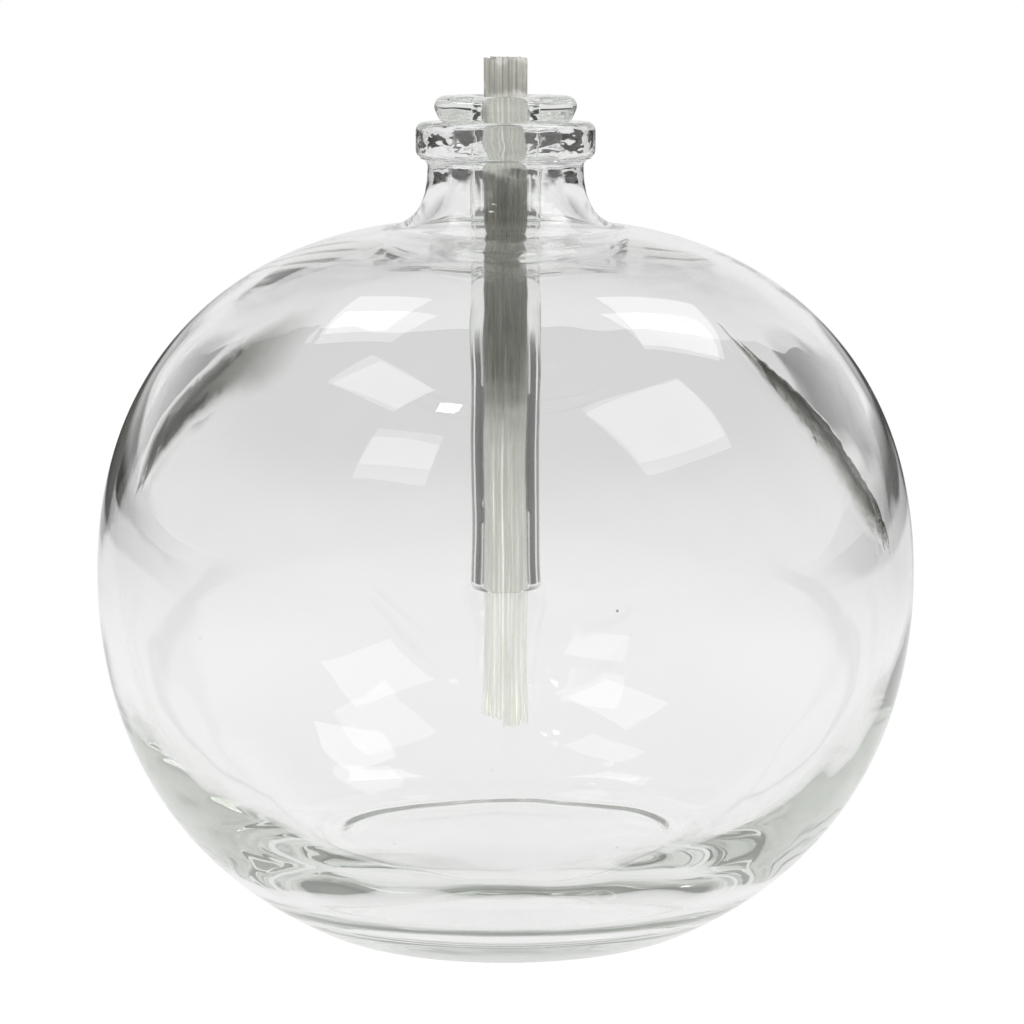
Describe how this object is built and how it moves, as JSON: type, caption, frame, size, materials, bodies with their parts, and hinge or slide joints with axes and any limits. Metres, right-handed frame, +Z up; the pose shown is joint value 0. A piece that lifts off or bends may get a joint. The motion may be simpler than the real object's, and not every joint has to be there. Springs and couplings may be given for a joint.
{
  "type": "oil lamp",
  "caption": "Refillable glass oil lamp: a round blown globe with a ringed bottle neck, a flanged glass wick tube and a glass-fibre wick.",
  "frame": {"origin": "on the table, under the middle of the globe's base", "axes": "+Z up along the axis of the globe, its neck and its wick; the front faces -Y"},
  "size_m": [0.1156, 0.1156, 0.1224],
  "materials": {
    "soda_lime_glass": "fire-polished",
    "borosilicate_glass": "fire-polished",
    "glass_fibre": "matt fibre"
  },
  "bodies": {
    "font": {"font": "soda_lime_glass"},
    "holder": {"wick_holder": "borosilicate_glass"},
    "wick": {"wick_ply_left": "glass_fibre", "wick_ply_right": "glass_fibre"}
  },
  "joints": [
    {"name": "holder_lift", "type": "slide", "parent": "font", "child": "holder", "axis": [0, 0, 1], "range_m": [0, 0.09]},
    {"name": "wick_slide", "type": "slide", "parent": "holder", "child": "wick", "axis": [0, 0, 1], "range_m": [-0.006, 0.01]}
  ]
}
